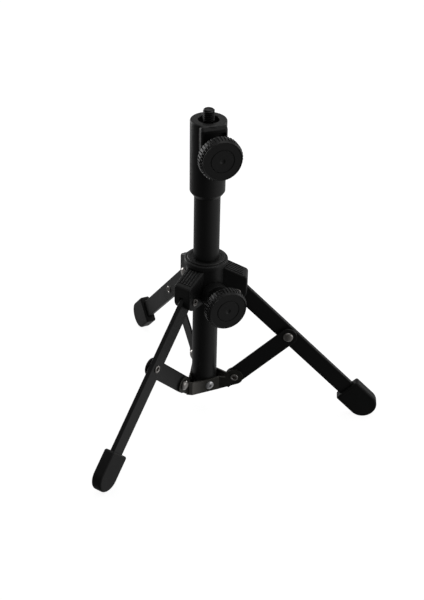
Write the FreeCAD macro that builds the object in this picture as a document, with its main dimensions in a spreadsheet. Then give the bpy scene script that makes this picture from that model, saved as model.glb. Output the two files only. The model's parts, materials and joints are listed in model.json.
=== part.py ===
import FreeCAD, Part
import math
import os

import Sketcher

# Desktop microphone stand: a threaded stud on a sliding inner tube, clamped in a collar on
# top of a fixed tube, and a sliding hub that folds three riveted legs and braces.
# Millimetres and degrees. The origin is the middle of the collar's top face, +Z is up, and
# one leg points along +X.

DIMENSIONS = {
    # column
    "tube_radius": 11.0,
    "tube_wall": 1.5,
    "tube_top": -4.0,
    "tube_bottom": -258.5,
    "plug_depth": 2.6,
    "inner_radius": 8.0,
    "inner_wall": 1.2,
    "inner_top": -6.0,
    "inner_bottom": -160.0,
    "slide_gap": 0.05,
    "guide_bottom": -46.0,
    "foot_ring_height": 8.0,
    # microphone stud, 3/8 inch
    "stud_radius": 4.7625,
    "stud_top": 8.5,
    "stud_chamfer": 0.9,
    "stud_relief_radius": 3.95,
    "stud_relief_top": -1.5,
    "stud_seat": -4.5,
    "stud_bottom": -17.0,
    # collar
    "collar_radius": 14.7,
    "collar_top_radius": 15.0,
    "collar_mouth": 8.7,
    "collar_height": 67.1,
    "collar_taper_height": 4.2,
    "collar_taper_width": 3.1,
    "collar_rim": 1.5,
    "pocket_frame_half": 11.2,
    "pocket_frame_front": 16.4,
    "pocket_frame_edge": -3.0,
    "pocket_frame_bottom": -38.0,
    "pocket_half": 9.2,
    "pocket_floor": 13.0,
    "pocket_top": -5.4,
    "pocket_bottom": -34.5,
    "pocket_boss_radius": 7.2,
    "pocket_frame_root": 0.8,
    "pocket_frame_drop": 0.4,
    "pocket_frame_bevel": 3.0,
    "frame_corner": 2.6,
    # clamp knobs and screws
    "upper_azimuth": -67.0,
    "upper_height": -21.0,
    "upper_face": 36.0,
    "upper_insert_in": 13.2,
    "upper_insert_out": 17.2,
    "lower_azimuth": -62.0,
    "lower_height": -153.5,
    "lower_face": 47.4,
    "lower_insert_in": 18.3,
    "lower_insert_out": 25.5,
    "knob_radius": 18.0,
    "knob_thickness": 9.6,
    "knob_taper": 3.2,
    "knob_face_radius": 16.5,
    "knob_face_band": 0.9,
    "knob_face_edge": 0.4,
    "knob_back_edge": 0.6,
    "knob_groove_depth": 0.9,
    "knob_groove_floor_width": 0.84,
    "knob_groove_outer_width": 1.96,
    "knob_ribs": 40,
    "knob_neck_radius": 6.5,
    "knob_neck_length": 8.0,
    "knob_dish_radius": 15.5,
    "knob_dish_depth": 0.5,
    "knob_screw_cover": 3.0,
    "screw_radius": 3.0,
    "insert_radius": 4.6,
    "pad_radius": 3.4,
    "pad_hole_radius": 3.6,
    "pad_length": 3.0,
    "lower_pad_length": 5.0,
    "touch_gap": 0.05,
    # hub
    "hub_radius": 17.0,
    "hub_top": -125.0,
    "hub_bottom": -164.5,
    "hub_chamfer": 0.8,
    "hub_flange_radius": 18.5,
    "hub_flange_top": -126.4,
    "hub_flange_under": -130.6,
    "hub_flange_round": 1.4,
    "hub_lip_radius": 16.2,
    "hub_lip_round": 1.2,
    "hub_bore": 13.2,
    "hub_boss_radius": 11.5,
    "block_half": 8.0,
    "block_top": -131.6,
    "block_shoulder": 16.5,
    "block_slope_drop": 8.6,
    "block_reach": 8.3,
    "block_corner": 3.4,
    "block_edge_round": 1.3,
    "block_root": 1.5,
    "ridge_width": 1.3,
    "ridge_pitch": 2.7,
    "ridge_height": 0.55,
    "ridge_end_gap": 2.2,
    "ridge_sink": 0.3,
    "slot_half": 2.1,
    "slot_headroom": 0.5,
    "slot_rise": 5.4,
    # leg linkage: equal links on equal pivot circles, so the hub travels straight
    "pivot_circle": 27.4,
    "pivot_height": -155.0,
    "link_length": 64.2,
    "leg_angle": 44.6,
    "leg_width": 15.2,
    "leg_thickness": 4.0,
    "leg_length": 170.0,
    "edge_round": 0.6,
    "brace_width": 15.6,
    "brace_thickness": 1.6,
    "brace_edge_round": 0.25,
    "brace_offset": -4.4,
    "washer_radius": 5.2,
    "washer_thickness": 1.5,
    "foot_tip": 175.2,
    "foot_mouth": 141.0,
    "foot_radius": 12.6,
    "foot_thickness": 9.6,
    "foot_round": 1.8,
    "foot_mouth_corner": 2.0,
    # spider strips round the tube's foot
    "strip_thickness": 1.5,
    "strip_height": 13.0,
    "strip_drop": 7.3,
    "ear_radius": 7.75,
    "outer_ear": -6.0,
    "inner_ear": -2.8,
    "strip_jog_start": 20.2,
    "strip_jog_end": 22.2,
    "strip_arm_reach": 1.9,
    "strip_arm_low": 7.5,
    "blind_rivet_turn": 62.0,
    # rivets
    "rivet_radius": 2.0,
    "rivet_hole": 2.05,
    "rivet_dome_radius": 4.5,
    "rivet_dome_height": 2.1,
    "rivet_ring_radius": 3.4,
    "rivet_ring_height": 1.0,
    "rivet_ring_crest": 2.85,
    "rivet_ring_lip": 2.2,
    "rivet_ring_dip": 0.1,
    "rivet_hollow_radius": 1.6,
    "rivet_hollow_depth": 4.0,
    "blind_head_radius": 4.0,
    "blind_head_height": 1.3,
    "blind_head_edge": 0.3,
    "blind_head_shoulder": 3.4,
    "blind_head_shoulder_height": 0.91,
    "blind_head_crest": 2.0,
    "blind_step": 0.5,
    "blind_clearance": 0.4,
    "blind_bulb_radius": 2.8,
    "blind_bulb_length": 1.6,
    "blind_hollow_radius": 0.9,
}

LEG_SPACING = 120.0
LEGS = {"right": 0.0, "rear": LEG_SPACING, "front": 2 * LEG_SPACING}
NEAR = 1e-6
LOOSE = 1e-3
FULL_TURN = 360.0
AXES = {"x": FreeCAD.Vector(1, 0, 0), "y": FreeCAD.Vector(0, 1, 0), "z": FreeCAD.Vector(0, 0, 1)}


class Size:
    """A length or angle that carries its number and the sheet expression that drives it."""

    def __init__(self, number, text):
        self.number = number
        self.text = text

    def __add__(self, other):
        other = size(other)
        return Size(self.number + other.number, f"({self.text} + {other.text})")

    def __sub__(self, other):
        other = size(other)
        return Size(self.number - other.number, f"({self.text} - {other.text})")

    def __mul__(self, other):
        other = size(other)
        return Size(self.number * other.number, f"({self.text} * {other.text})")

    def __truediv__(self, other):
        other = size(other)
        return Size(self.number / other.number, f"({self.text} / {other.text})")

    def __neg__(self):
        return Size(-self.number, f"(0 - {self.text})")

    def cos(self):
        return Size(math.cos(math.radians(self.number)), f"cos({self.text})")

    def sin(self):
        return Size(math.sin(math.radians(self.number)), f"sin({self.text})")


def size(value):
    """Turn a plain number into a Size; a Size stays as it is."""
    return value if isinstance(value, Size) else Size(float(value), repr(float(value)))


def fill_sheet(document):
    sheet = document.addObject("Spreadsheet::Sheet", "dims")
    for row, (alias, number) in enumerate(DIMENSIONS.items(), start=1):
        sheet.set(f"A{row}", alias)
        sheet.set(f"B{row}", str(number))
        sheet.setAlias(f"B{row}", alias)
    document.recompute()


def dim(alias):
    return Size(float(DIMENSIONS[alias]), f"dims.{alias}")


doc = FreeCAD.newDocument("mic_stand")
fill_sheet(doc)
ZERO = size(0)
LINK_DROP = dim("link_length") * dim("leg_angle").sin()
SPIDER_HEIGHT = dim("pivot_height") - LINK_DROP * 2
STRIP_LOW = SPIDER_HEIGHT - dim("strip_drop") - dim("strip_height") / 2
OUTER_TUBE_BORE = dim("tube_radius") - dim("tube_wall")


# ---------------------------------------------------------------- building blocks

def bind(thing, **sizes):
    """Drive properties of an object from the sheet."""
    for name, value in sizes.items():
        thing.setExpression(name.replace("__", "."), size(value).text)
    return thing


def about(axis, angle):
    return FreeCAD.Rotation(AXES[axis], size(angle).number)


def at(x, y, z, rotation=None):
    """Placement at a point, turned by an optional rotation."""
    base = FreeCAD.Vector(size(x).number, size(y).number, size(z).number)
    return FreeCAD.Placement(base, rotation or FreeCAD.Rotation())


def turned_about_z(angle, placement):
    """The placement carried round the column by an angle."""
    swing = FreeCAD.Placement(FreeCAD.Vector(0, 0, 0), about("z", angle))
    return swing.multiply(placement)


def radial(azimuth, distance, height):
    """Local +Z points away from the column along the azimuth."""
    return turned_about_z(azimuth, at(distance, 0, height, about("y", 90)))


def tangential(azimuth, distance, offset, height):
    """Local +Z points along the tangent, anticlockwise seen from above."""
    return turned_about_z(azimuth, at(distance, offset, height, about("x", -90)))


def cylinder(name, radius, length, placement=None):
    thing = doc.addObject("Part::Cylinder", name)
    bind(thing, Radius=radius, Height=length)
    thing.Placement = placement or FreeCAD.Placement()
    return thing


def box(name, length, width, height, placement):
    """Box that starts at the placement in local x, is centred in y and rises in z."""
    thing = doc.addObject("Part::Box", name)
    bind(thing, Length=length, Width=width, Height=height)
    centred = at(0, -(size(width) / 2), 0)
    thing.Placement = placement.multiply(centred)
    return thing


def fuse(name, *pieces):
    thing = doc.addObject("Part::MultiFuse", name)
    thing.Shapes = list(pieces)
    thing.Refine = True
    return thing


def cut(name, base, *tools):
    thing = doc.addObject("Part::Cut", name)
    thing.Base = base
    thing.Tool = tools[0] if len(tools) == 1 else fuse(name + "_tools", *tools)
    thing.Refine = True
    return thing


def group(name, *solids):
    """Identical loose pieces kept as separate solids in one node."""
    thing = doc.addObject("Part::Compound", name)
    thing.Links = list(solids)
    return thing


def rounded(name, base, radius, wanted):
    """Fillet the edges of base that wanted(edge) picks out."""
    doc.recompute()
    thing = doc.addObject("Part::Fillet", name)
    thing.Base = base
    radius = size(radius).number
    picked = [index for index, edge in enumerate(base.Shape.Edges, start=1) if wanted(edge)]
    thing.Edges = [(index, radius, radius) for index in picked]
    return thing


def plane_of(body, role):
    return next(item for item in body.Origin.OriginFeatures if item.Role == role)


def new_sketch(body, name, role="XZ_Plane"):
    sketch = body.newObject("Sketcher::SketchObject", name)
    sketch.AttachmentSupport = [(plane_of(body, role), "")]
    sketch.MapMode = "FlatFace"
    return sketch


def drive(sketch, constraint, value):
    """Add a dimensional constraint whose value follows the sheet."""
    index = sketch.addConstraint(constraint)
    sketch.setExpression(f"Constraints[{index}]", size(value).text)


def polygon(sketch, corners):
    """Closed outline through (x, y) corners, each corner placed from the sheet."""
    corners = [(size(x), size(y)) for x, y in corners]
    points = [FreeCAD.Vector(x.number, y.number, 0) for x, y in corners]
    count = len(points)
    first = len(sketch.Geometry)
    for index in range(count):
        sketch.addGeometry(Part.LineSegment(points[index], points[(index + 1) % count]))
    for index in range(count):
        following = first + (index + 1) % count
        sketch.addConstraint(Sketcher.Constraint("Coincident", first + index, 2, following, 1))
    for index, (x, y) in enumerate(corners):
        line = first + index
        drive(sketch, Sketcher.Constraint("DistanceX", -1, 1, line, 1, x.number), x)
        drive(sketch, Sketcher.Constraint("DistanceY", -1, 1, line, 1, y.number), y)


def circle(sketch, x, y, radius):
    x, y, radius = size(x), size(y), size(radius)
    centre = FreeCAD.Vector(x.number, y.number, 0)
    index = sketch.addGeometry(Part.Circle(centre, FreeCAD.Vector(0, 0, 1), radius.number))
    drive(sketch, Sketcher.Constraint("DistanceX", -1, 1, index, 3, x.number), x)
    drive(sketch, Sketcher.Constraint("DistanceY", -1, 1, index, 3, y.number), y)
    drive(sketch, Sketcher.Constraint("Radius", index, radius.number), radius)


def stadium(sketch, start, end, half_width):
    """Straight-sided outline with round ends, its round centres at x = start and x = end."""
    start, end, half_width = size(start), size(end), size(half_width)
    x1, x2, r = start.number, end.number, half_width.number
    normal = FreeCAD.Vector(0, 0, 1)
    far = Part.Circle(FreeCAD.Vector(x2, 0, 0), normal, r)
    near = Part.Circle(FreeCAD.Vector(x1, 0, 0), normal, r)
    quarter = math.pi / 2
    first = sketch.addGeometry(Part.LineSegment(FreeCAD.Vector(x1, -r, 0), FreeCAD.Vector(x2, -r, 0)))
    sketch.addGeometry(Part.ArcOfCircle(far, -quarter, quarter))
    sketch.addGeometry(Part.LineSegment(FreeCAD.Vector(x2, r, 0), FreeCAD.Vector(x1, r, 0)))
    sketch.addGeometry(Part.ArcOfCircle(near, quarter, 3 * quarter))
    for step in range(4):
        line, following = first + step, first + (step + 1) % 4
        sketch.addConstraint(Sketcher.Constraint("Tangent", line, 2, following, 1))
    far_arc, near_arc = first + 1, first + 3
    sketch.addConstraint(Sketcher.Constraint("PointOnObject", far_arc, 3, -1))
    sketch.addConstraint(Sketcher.Constraint("PointOnObject", near_arc, 3, -1))
    drive(sketch, Sketcher.Constraint("DistanceX", -1, 1, near_arc, 3, x1), start)
    drive(sketch, Sketcher.Constraint("DistanceX", -1, 1, far_arc, 3, x2), end)
    drive(sketch, Sketcher.Constraint("Radius", near_arc, r), half_width)


def turned(name, corners, placement=None):
    """Body turned about its local Z axis from a closed (radius, height) outline."""
    body = doc.addObject("PartDesign::Body", name)
    sketch = new_sketch(body, name + "_outline")
    polygon(sketch, corners)
    turn = body.newObject("PartDesign::Revolution", name + "_turn")
    turn.Profile = sketch
    turn.ReferenceAxis = (sketch, ["V_Axis"])
    turn.Angle = FULL_TURN
    body.Placement = placement or FreeCAD.Placement()
    return body


def ring(name, inner, outer, bottom, top, placement=None):
    """Plain sleeve between two radii and two heights."""
    corners = [(inner, bottom), (outer, bottom), (outer, top), (inner, top)]
    return turned(name, corners, placement)


def flat_bar(name, start, end, half_width, thickness, edge_round, holes, placement):
    """Round-ended flat bar along local X, thick in local Y, with rivet holes through it."""
    body = doc.addObject("PartDesign::Body", name)
    outline = new_sketch(body, name + "_outline")
    stadium(outline, start, end, half_width)
    pad = body.newObject("PartDesign::Pad", name + "_pad")
    pad.Profile = outline
    pad.Midplane = True
    bind(pad, Length=thickness)
    doc.recompute()
    half = size(thickness).number / 2
    rims = []
    for index, edge in enumerate(pad.Shape.Edges, start=1):
        if abs(abs(edge.CenterOfMass.y) - half) < NEAR:
            rims.append(f"Edge{index}")
    fillet = body.newObject("PartDesign::Fillet", name + "_edges")
    fillet.Base = (pad, rims)
    bind(fillet, Radius=edge_round)
    if holes:
        drilled = new_sketch(body, name + "_holes")
        for along, radius in holes:
            circle(drilled, along, 0, radius)
        pocket = body.newObject("PartDesign::Pocket", name + "_drill")
        pocket.Profile = drilled
        pocket.Midplane = True
        bind(pocket, Length=size(thickness) * 2)
    body.Placement = placement
    return body


def leg_frame(azimuth, offset=0, reach=0):
    """Local X runs down along a leg from its hub pivot."""
    return turned_about_z(azimuth, at(
        dim("pivot_circle") + size(reach) * dim("leg_angle").cos(), offset,
        dim("pivot_height") - size(reach) * dim("leg_angle").sin(), about("y", dim("leg_angle"))))


def brace_frame(azimuth):
    """Local X runs up along a brace from its spider pivot."""
    return turned_about_z(azimuth, at(
        dim("pivot_circle"), dim("brace_offset"), SPIDER_HEIGHT, about("y", -dim("leg_angle"))))


# ---------------------------------------------------------------- column

def main_tube():
    sleeve = ring("tube_sleeve", OUTER_TUBE_BORE, dim("tube_radius"), dim("tube_bottom"), dim("tube_top"))
    reach = dim("tube_radius") + 1
    tools = [cylinder("tube_pad_hole", dim("pad_hole_radius"), reach,
                      radial(dim("upper_azimuth"), 0, dim("upper_height")))]
    for name, azimuth in LEGS.items():
        tools.append(cylinder(f"tube_rivet_hole_{name}", dim("rivet_radius"), reach,
                              blind_place(azimuth)))
    return cut("main_tube", sleeve, *tools)


def blind_place(azimuth):
    """Axis of the blind rivet that holds the strip on a leg's clockwise side."""
    middle = STRIP_LOW + dim("strip_height") / 2
    return radial(azimuth - DIMENSIONS["blind_rivet_turn"], 0, middle)


def tube_plug():
    floor = dim("tube_bottom") + dim("strip_thickness")
    top = dim("tube_bottom") + dim("plug_depth")
    wall = OUTER_TUBE_BORE - dim("tube_wall")
    corners = [(0, dim("tube_bottom")), (OUTER_TUBE_BORE, dim("tube_bottom")),
               (OUTER_TUBE_BORE, top), (wall, top), (wall, floor), (0, floor)]
    return turned("tube_plug", corners)


def inner_tube():
    inside = dim("inner_radius") - dim("inner_wall")
    return ring("inner_tube", inside, dim("inner_radius"), dim("inner_bottom"), dim("inner_top"))


def inner_tube_foot():
    """Plastic ring plugged on the inner tube's end; it runs in the outer tube."""
    inside = dim("inner_radius") - dim("inner_wall")
    outside = OUTER_TUBE_BORE - dim("slide_gap")
    low = dim("inner_bottom") - dim("foot_ring_height") / 4
    seat = dim("inner_bottom")
    top = seat + dim("foot_ring_height")
    wall = inside - dim("inner_wall")
    corners = [(wall, low), (outside, low), (outside, seat), (inside, seat), (inside, top), (wall, top)]
    return turned("inner_tube_foot", corners)


def stud_plug():
    """Metal plug that closes the inner tube and holds the stud."""
    inside = dim("inner_radius") - dim("inner_wall")
    corners = [(dim("stud_radius"), dim("stud_bottom")), (inside, dim("stud_bottom")),
               (inside, dim("inner_top")), (dim("inner_radius"), dim("inner_top")),
               (dim("inner_radius"), dim("stud_seat")), (dim("stud_radius"), dim("stud_seat"))]
    return turned("stud_plug", corners)


def mic_stud():
    """3/8 inch stud at its major diameter, with a run-out groove under the thread."""
    tip = dim("stud_radius") - dim("stud_chamfer")
    corners = [(0, dim("stud_bottom")), (dim("stud_radius"), dim("stud_bottom")),
               (dim("stud_radius"), dim("stud_seat")), (dim("stud_relief_radius"), dim("stud_seat")),
               (dim("stud_relief_radius"), dim("stud_relief_top")),
               (dim("stud_radius"), dim("stud_relief_top")),
               (dim("stud_radius"), dim("stud_top") - dim("stud_chamfer")),
               (tip, dim("stud_top")), (0, dim("stud_top"))]
    return turned("mic_stud", corners)


def guide_bushing():
    """Plastic sleeve in the tube's mouth that guides the inner tube."""
    bore = dim("inner_radius") + dim("slide_gap")
    sleeve = ring("guide_sleeve", bore, OUTER_TUBE_BORE, dim("guide_bottom"), dim("tube_top"))
    hole = cylinder("guide_pad_hole", dim("pad_hole_radius"), OUTER_TUBE_BORE + 1,
                    radial(dim("upper_azimuth"), 0, dim("upper_height")))
    return cut("guide_bushing", sleeve, hole)


# ---------------------------------------------------------------- collar and clamps

def collar_barrel():
    bottom = -dim("collar_height")
    taper_top = bottom + dim("collar_taper_height")
    foot = dim("collar_radius") - dim("collar_taper_width")
    corners = [(dim("tube_radius"), bottom), (foot, bottom), (dim("collar_radius"), taper_top),
               (dim("collar_top_radius"), 0), (dim("collar_mouth"), 0),
               (dim("collar_mouth"), dim("tube_top")), (dim("tube_radius"), dim("tube_top"))]
    return turned("collar_barrel", corners)


def pocket_frame():
    """Square-shouldered frame on the barrel that the upper knob stands in front of."""
    body = doc.addObject("PartDesign::Body", "pocket_frame")
    sketch = new_sketch(body, "pocket_frame_side")
    inner = dim("collar_mouth") + dim("pocket_frame_root")
    drop, bevel = dim("pocket_frame_drop"), dim("pocket_frame_bevel")
    slope = dim("pocket_frame_front") + dim("pocket_frame_edge") + drop
    front, low = dim("pocket_frame_front"), dim("pocket_frame_bottom")
    polygon(sketch, [(inner, low + bevel), (front - bevel, low), (front, low + bevel),
                     (front, dim("pocket_frame_edge")), (slope, -drop), (inner, -drop)])
    pad = body.newObject("PartDesign::Pad", "pocket_frame_pad")
    pad.Profile = sketch
    pad.Midplane = True
    bind(pad, Length=dim("pocket_frame_half") * 2)
    doc.recompute()
    corners = []
    for index, edge in enumerate(pad.Shape.Edges, start=1):
        middle = edge.CenterOfMass
        on_side = abs(abs(middle.y) - DIMENSIONS["pocket_frame_half"]) < NEAR
        above_bevel = middle.z > low.number + 2 * bevel.number
        if on_side and above_bevel and middle.x > inner.number + NEAR:
            corners.append(f"Edge{index}")
    fillet = body.newObject("PartDesign::Fillet", "pocket_frame_corners")
    fillet.Base = (pad, corners)
    bind(fillet, Radius=dim("frame_corner"))
    body.Placement = at(0, 0, 0, about("z", dim("upper_azimuth")))
    return body


def top_collar():
    rim = rounded("collar_rim", collar_barrel(), dim("collar_rim"), lambda edge: is_circle(
        edge, dim("collar_top_radius"), ZERO))
    mouth = rounded("collar_mouth_edge", rim, dim("collar_rim") / 2, lambda edge: is_circle(
        edge, dim("collar_mouth"), ZERO))
    shoulder_height = dim("collar_taper_height") - dim("collar_height")
    barrel = rounded("collar_shoulder", mouth, dim("collar_rim"), lambda edge: is_circle(
        edge, dim("collar_radius"), shoulder_height))
    azimuth = dim("upper_azimuth")
    height = dim("upper_height")
    outside = fuse("collar_outside", barrel, pocket_frame())
    tall = dim("pocket_top") - dim("pocket_bottom")
    pocket = box("pocket", dim("collar_radius"), dim("pocket_half") * 2, tall,
                 turned_about_z(azimuth, at(dim("pocket_floor"), 0, dim("pocket_bottom"))))
    pocketed = cut("collar_pocketed", outside, pocket)
    length = dim("upper_insert_out") - dim("tube_radius")
    boss = cylinder("pocket_boss", dim("pocket_boss_radius"), length,
                    radial(azimuth, dim("tube_radius"), height))
    whole = fuse("collar_whole", pocketed, boss)
    tube_space = cylinder("collar_bore", dim("tube_radius"), dim("collar_height"),
                          at(0, 0, dim("tube_top") - dim("collar_height")))
    seat = cylinder("collar_insert_seat", dim("insert_radius"), dim("collar_radius"),
                    radial(azimuth, dim("upper_insert_in"), height))
    hole = cylinder("collar_pad_hole", dim("pad_hole_radius"), dim("collar_radius"),
                    radial(azimuth, 0, height))
    return cut("top_collar", whole, tube_space, seat, hole)


def is_circle(edge, radius, height):
    """True for a full circle about the column's axis with this radius and height."""
    curve = edge.Curve
    if not isinstance(curve, Part.Circle):
        return False
    same_radius = abs(curve.Radius - size(radius).number) < LOOSE
    return same_radius and abs(curve.Center.z - size(height).number) < LOOSE


def clamp_insert(name, azimuth, height, start, end):
    bore = dim("screw_radius") + dim("touch_gap")
    return ring(name, bore, dim("insert_radius"), 0, end - start, radial(azimuth, start, height))


def clamp_pad(name, azimuth, height, shaft_radius, length):
    pad = cylinder(name + "_rod", dim("pad_radius"), length,
                   radial(azimuth, shaft_radius + dim("touch_gap"), height))
    hollow = cylinder(name + "_hollow", shaft_radius + dim("touch_gap"), dim("pad_radius") * 2,
                      at(0, 0, height - dim("pad_radius")))
    return cut(name, pad, hollow)


def clamp_screw(name, azimuth, height, start, face):
    length = face - dim("knob_screw_cover") - start
    return cylinder(name, dim("screw_radius"), length, radial(azimuth, start, height))


def knob_outline(sketch):
    """Half section of a knob: screw pocket, neck, tapered rim and dished face."""
    back = -dim("knob_thickness")
    neck_end = back - dim("knob_neck_length")
    screw_end = -dim("knob_screw_cover")
    rim, face, dish = dim("knob_radius"), dim("knob_face_radius"), dim("knob_dish_radius")
    edge = dim("knob_back_edge")
    polygon(sketch, [
        (0, screw_end), (dim("screw_radius"), screw_end), (dim("screw_radius"), neck_end),
        (dim("knob_neck_radius"), neck_end), (dim("knob_neck_radius"), back), (rim - edge, back),
        (rim, back + edge), (rim, -dim("knob_taper")), (face, -dim("knob_face_band")),
        (face, -dim("knob_face_edge")), (face - dim("knob_face_edge"), 0),
        (dish + dim("knob_dish_depth"), 0), (dish, -dim("knob_dish_depth")),
        (0, -dim("knob_dish_depth"))])


def groove_outline(sketch):
    """Section of one groove between two ribs, wider at the rim than at its floor."""
    root = dim("knob_radius") - dim("knob_groove_depth")
    over = dim("knob_radius") + dim("knob_groove_depth")
    narrow, wide = dim("knob_groove_floor_width") / 2, dim("knob_groove_outer_width") / 2
    polygon(sketch, [(root, -narrow), (over, -wide), (over, wide), (root, narrow)])


def clamp_knob(name, azimuth, height, face):
    """Ribbed round knob with a tapered rim, a shallow dished face and a neck."""
    body = doc.addObject("PartDesign::Body", name)
    outline = new_sketch(body, name + "_outline")
    knob_outline(outline)
    turn = body.newObject("PartDesign::Revolution", name + "_turn")
    turn.Profile = outline
    turn.ReferenceAxis = (outline, ["V_Axis"])
    turn.Angle = FULL_TURN
    section = new_sketch(body, name + "_groove_outline", "XY_Plane")
    groove_outline(section)
    groove = body.newObject("PartDesign::Pocket", name + "_groove")
    groove.Profile = section
    bind(groove, Length=dim("knob_thickness") * 2)
    grooves = body.newObject("PartDesign::PolarPattern", name + "_grooves")
    grooves.Originals = [groove]
    grooves.Axis = (section, ["N_Axis"])
    grooves.Angle = FULL_TURN
    grooves.Occurrences = DIMENSIONS["knob_ribs"]
    body.Tip = grooves
    body.Placement = radial(azimuth, face, height)
    return body


# ---------------------------------------------------------------- hub

def hub_core():
    """Barrel of the hub, with a stepped and rounded flange at its top."""
    flange, lip = dim("hub_flange_radius"), dim("hub_lip_radius")
    chamfer = dim("hub_chamfer")
    corners = [
        (dim("hub_bore"), dim("hub_bottom")), (dim("hub_radius") - chamfer, dim("hub_bottom")),
        (dim("hub_radius"), dim("hub_bottom") + chamfer),
        (dim("hub_radius"), dim("hub_flange_under") - chamfer),
        (flange, dim("hub_flange_under")), (flange, dim("hub_flange_top")),
        (lip, dim("hub_flange_top")), (lip, dim("hub_top")), (dim("hub_bore"), dim("hub_top"))]
    barrel = turned("hub_core", corners)
    flanged = rounded("hub_flange_edge", barrel, dim("hub_flange_round"),
                      lambda edge: is_circle(edge, flange, dim("hub_flange_top")))
    return rounded("hub_lip_edge", flanged, dim("hub_lip_round"),
                   lambda edge: is_circle(edge, lip, dim("hub_top")))


def hub_block(name, azimuth):
    """One leg clevis, still solid: sloped top, upright outer face, round lower end."""
    body = doc.addObject("PartDesign::Body", f"hub_block_{name}")
    side = new_sketch(body, f"hub_block_side_{name}")
    root = dim("hub_bore") + dim("block_root")
    outer = dim("pivot_circle") + dim("block_reach")
    low = dim("pivot_height") - dim("block_reach")
    eaves = dim("block_top") - dim("block_slope_drop")
    polygon(side, [
        (root, low), (dim("pivot_circle"), low), (dim("pivot_circle"), dim("pivot_height")),
        (outer, dim("pivot_height")), (outer, eaves), (dim("block_shoulder"), dim("block_top")),
        (root, dim("block_top"))])
    pad = body.newObject("PartDesign::Pad", f"hub_block_pad_{name}")
    pad.Profile = side
    pad.Midplane = True
    bind(pad, Length=dim("block_half") * 2)
    knuckle = new_sketch(body, f"hub_knuckle_side_{name}")
    circle(knuckle, dim("pivot_circle"), dim("pivot_height"), dim("block_reach"))
    round_end = body.newObject("PartDesign::Pad", f"hub_knuckle_{name}")
    round_end.Profile = knuckle
    round_end.Midplane = True
    bind(round_end, Length=dim("block_half") * 2)
    doc.recompute()
    shoulder = []
    for index, edge in enumerate(round_end.Shape.Edges, start=1):
        middle = edge.CenterOfMass
        if abs(middle.y) < NEAR and math.hypot(middle.x - outer.number, middle.z - eaves.number) < LOOSE:
            shoulder.append(f"Edge{index}")
    fillet = body.newObject("PartDesign::Fillet", f"hub_block_shoulder_{name}")
    fillet.Base = (round_end, shoulder)
    bind(fillet, Radius=dim("block_corner"))
    eased = rounded(f"hub_block_edges_{name}", body, dim("block_edge_round"), is_block_side)
    eased.Placement = at(0, 0, 0, about("z", azimuth))
    return eased


def is_block_side(edge):
    """True for an edge of a clevis's side face that stays outside the hub's barrel."""
    middle = edge.CenterOfMass
    on_side = abs(abs(middle.y) - DIMENSIONS["block_half"]) < NEAR
    return on_side and middle.x > DIMENSIONS["hub_bore"] + DIMENSIONS["block_root"] + NEAR


def hub_ridges(name, azimuth):
    """Raised ribs that run down a clevis's sloped top."""
    run = dim("pivot_circle") + dim("block_reach") - dim("block_shoulder")
    angle = math.degrees(math.atan2(DIMENSIONS["block_slope_drop"], run.number))
    slope_length = math.hypot(run.number, DIMENSIONS["block_slope_drop"])
    length = size(slope_length) - dim("ridge_end_gap") - dim("block_corner")
    ridges = []
    for step in range(-2, 3):
        place = at(dim("block_shoulder"), dim("ridge_pitch") * step, dim("block_top"), about("y", angle))
        place = place.multiply(at(dim("ridge_end_gap") / 2, 0, -dim("ridge_sink")))
        ridges.append(box(f"hub_ridge_{name}_{step + 2}", length, dim("ridge_width"),
                          dim("ridge_height") + dim("ridge_sink"), turned_about_z(azimuth, place)))
    return ridges


def hub_slot(name, azimuth):
    """Room for a leg to swing in its clevis, and the rivet hole across it."""
    pivot = tangential(azimuth, dim("pivot_circle"), -dim("slot_half"), dim("pivot_height"))
    eye_radius = dim("leg_width") / 2 + dim("slot_headroom")
    eye = cylinder(f"slot_eye_{name}", eye_radius, dim("slot_half") * 2, pivot)
    drop = dim("block_reach") * 2
    below = box(f"slot_below_{name}", dim("block_reach") + eye_radius + 1, dim("slot_half") * 2, drop,
                turned_about_z(azimuth, at(dim("pivot_circle") - eye_radius, 0, dim("pivot_height") - drop)))
    beside = box(f"slot_beside_{name}", dim("block_reach") + 1, dim("slot_half") * 2, dim("slot_rise"),
                 turned_about_z(azimuth, at(dim("pivot_circle"), 0, dim("pivot_height"))))
    hole = cylinder(f"hub_rivet_hole_{name}", dim("rivet_radius"), dim("block_half") * 4,
                    tangential(azimuth, dim("pivot_circle"), -dim("block_half") * 2, dim("pivot_height")))
    return [eye, below, beside, hole]


def hub_body():
    azimuth, height = dim("lower_azimuth"), dim("lower_height")
    boss_start = dim("hub_bore") + 1
    boss = cylinder("hub_boss", dim("hub_boss_radius"), dim("lower_insert_out") - boss_start,
                    radial(azimuth, boss_start, height))
    solids = [hub_core(), boss]
    tools = []
    for name, turn in LEGS.items():
        solids.append(hub_block(name, turn))
        solids += hub_ridges(name, turn)
        tools += hub_slot(name, turn)
    tall = dim("hub_top") - dim("hub_bottom")
    tools.append(cylinder("hub_bushing_seat", dim("hub_bore"), tall * 2,
                          at(0, 0, dim("hub_bottom") - tall / 2)))
    tools.append(cylinder("hub_pad_hole", dim("pad_hole_radius"), dim("lower_insert_out"),
                          radial(azimuth, 0, height)))
    tools.append(cylinder("hub_insert_seat", dim("insert_radius"), dim("lower_insert_out"),
                          radial(azimuth, dim("lower_insert_in"), height)))
    return cut("hub_body", fuse("hub_solid", *solids), *tools)


def hub_bushing():
    """Plastic sleeve between the hub and the tube."""
    bore = dim("tube_radius") + dim("slide_gap")
    low = dim("hub_bottom")
    top = dim("hub_top") - dim("hub_chamfer") / 2
    sleeve = ring("hub_sleeve", bore, dim("hub_bore"), low, top)
    hole = cylinder("hub_sleeve_hole", dim("pad_hole_radius"), dim("hub_radius"),
                    radial(dim("lower_azimuth"), 0, dim("lower_height")))
    return cut("hub_bushing", sleeve, hole)


# ---------------------------------------------------------------- legs, braces, feet

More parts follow.
